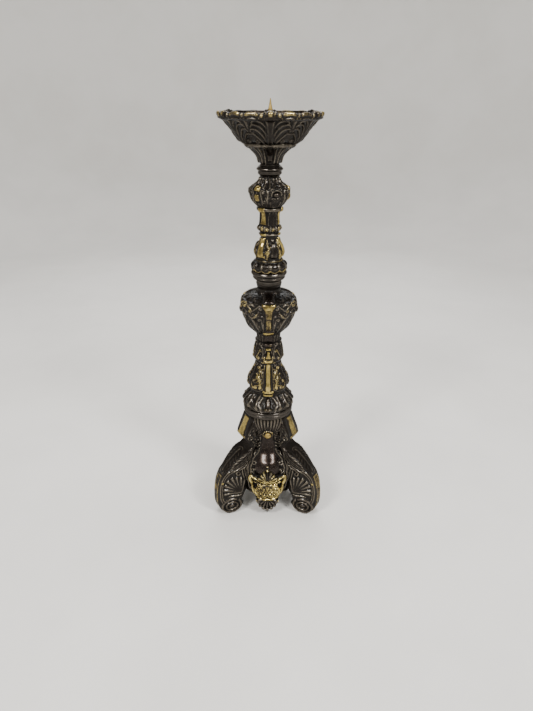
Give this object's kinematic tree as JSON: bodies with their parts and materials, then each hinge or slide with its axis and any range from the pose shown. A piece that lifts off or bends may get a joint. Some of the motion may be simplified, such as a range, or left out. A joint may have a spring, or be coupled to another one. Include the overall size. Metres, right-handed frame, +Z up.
{
  "type": "pricket candlestick",
  "caption": "Pricket candlestick: tripod scroll base, baluster stem of castings and turned collars on a tie rod, lobed drip pan and a spike that unscrews.",
  "frame": {"origin": "on the stem's axis, in the plane that the three feet stand on", "axes": "+Z up along the stem, towards the spike; -Y towards the front face of the base, +X to its right"},
  "size_m": [0.171, 0.157, 0.6],
  "materials": {
    "bronze": "dark brown patinated cast bronze, rubbed to brass on the high spots",
    "turned_bronze": "dark patinated bronze, lathe turned and polished",
    "gilt_bronze": "worn gilt cast bronze, dark in the hollows",
    "brass": "polished brass, lightly tarnished",
    "iron": "blackened iron"
  },
  "bodies": {
    "root": {"drip_pan": "bronze", "pan_cup": "bronze", "upper_collar": "turned_bronze", "knop": "bronze", "upper_baluster": "bronze", "middle_collar": "turned_bronze", "vase": "bronze", "lower_baluster": "bronze", "lower_collar": "turned_bronze", "base_shell": "bronze", "leg_right": "bronze", "leg_back": "bronze", "leg_left": "bronze", "cartouche_front": "gilt_bronze", "cartouche_right": "gilt_bronze", "cartouche_left": "gilt_bronze", "cabochon_front": "brass", "cabochon_right": "brass", "cabochon_left": "brass", "leg_screws": "iron", "cartouche_rivets": "brass", "tie_rod": "iron", "rod_washer": "iron", "rod_nut": "iron"},
    "washer": {"pricket_washer": "brass"},
    "pricket": {"pricket": "brass"}
  },
  "joints": [
    {"name": "pricket_lift", "type": "slide", "parent": "root", "child": "washer", "axis": [0, 0, 1], "range_m": [0, 0.0081]},
    {"name": "pricket_turn", "type": "hinge", "parent": "washer", "child": "pricket", "pos_m": [0, 0, 0.563], "axis": [0, 0, 1], "range_deg": [0, 3600]}
  ],
  "couplings": [
    {"joint": "pricket_lift", "follows": "pricket_turn", "m_per_rad": 0.00012732}
  ]
}
